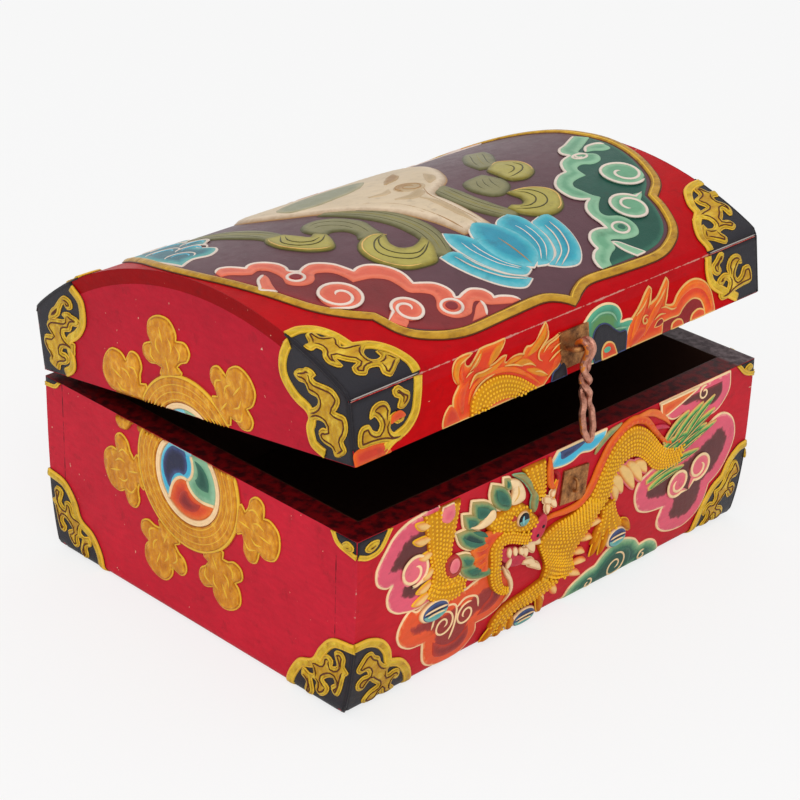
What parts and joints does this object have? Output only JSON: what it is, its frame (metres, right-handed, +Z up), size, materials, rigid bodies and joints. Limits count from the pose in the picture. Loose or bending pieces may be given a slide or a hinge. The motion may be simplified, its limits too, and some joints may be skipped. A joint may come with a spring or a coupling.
{
  "type": "domed wooden keepsake box",
  "caption": "Domed wooden keepsake box with a lid on two butt hinges and a twisted-wire hasp that drops over a low staple; painted relief ornament.",
  "frame": {"origin": "middle of the underside of the lower half", "axes": "+X along the front to the right, -Y out of the front, +Z up; the lid stands open 8.5 degrees at rest"},
  "size_m": [0.2518, 0.2099, 0.1637],
  "materials": {
    "painted_wood": "hand-painted crimson gloss",
    "bare_wood": "dark stained",
    "gilt_relief": "raised gesso, painted old gold",
    "painted_relief": "raised gesso, painted in several colours",
    "hinge_brass": "aged",
    "plate_bronze": "dark aged",
    "wire_bronze": "worn"
  },
  "bodies": {
    "base": {"base_front_board": "painted_wood", "base_back_board": "painted_wood", "base_left_board": "painted_wood", "base_right_board": "painted_wood", "base_floor_board": "bare_wood", "left_hinge_base_leaf": "hinge_brass", "left_hinge_pin": "hinge_brass", "right_hinge_base_leaf": "hinge_brass", "right_hinge_pin": "hinge_brass", "hinge_base_screws": "hinge_brass", "catch_plate": "plate_bronze", "catch_staple": "wire_bronze", "base_left_wheel": "gilt_relief", "base_right_wheel": "gilt_relief"},
    "lid": {"lid_front_rail": "painted_wood", "lid_back_rail": "painted_wood", "lid_left_gable": "painted_wood", "lid_right_gable": "painted_wood", "lid_top_board": "painted_wood", "left_hinge_lid_leaf": "hinge_brass", "right_hinge_lid_leaf": "hinge_brass", "hinge_lid_screws": "hinge_brass", "hasp_plate": "plate_bronze", "hasp_staple": "wire_bronze", "lid_left_wheel": "gilt_relief", "lid_right_wheel": "gilt_relief", "lid_cartouche": "gilt_relief", "lid_conch": "painted_relief", "lid_lotus": "painted_relief", "lid_left_scarf": "painted_relief", "lid_right_scarf": "painted_relief", "lid_left_cloud": "painted_relief", "lid_right_cloud": "painted_relief"},
    "hasp": {"hasp": "wire_bronze"}
  },
  "joints": [
    {"name": "lid_hinge", "type": "hinge", "parent": "base", "child": "lid", "pos_m": [0, 0.1006, 0.08475], "axis": [-1, 0, 0], "range_deg": [-9.1, 171.5]},
    {"name": "hasp_swing", "type": "hinge", "parent": "lid", "child": "hasp", "pos_m": [0.0005, -0.1017, 0.12889], "axis": [-1, 0, 0], "range_deg": [-2, 110]}
  ]
}
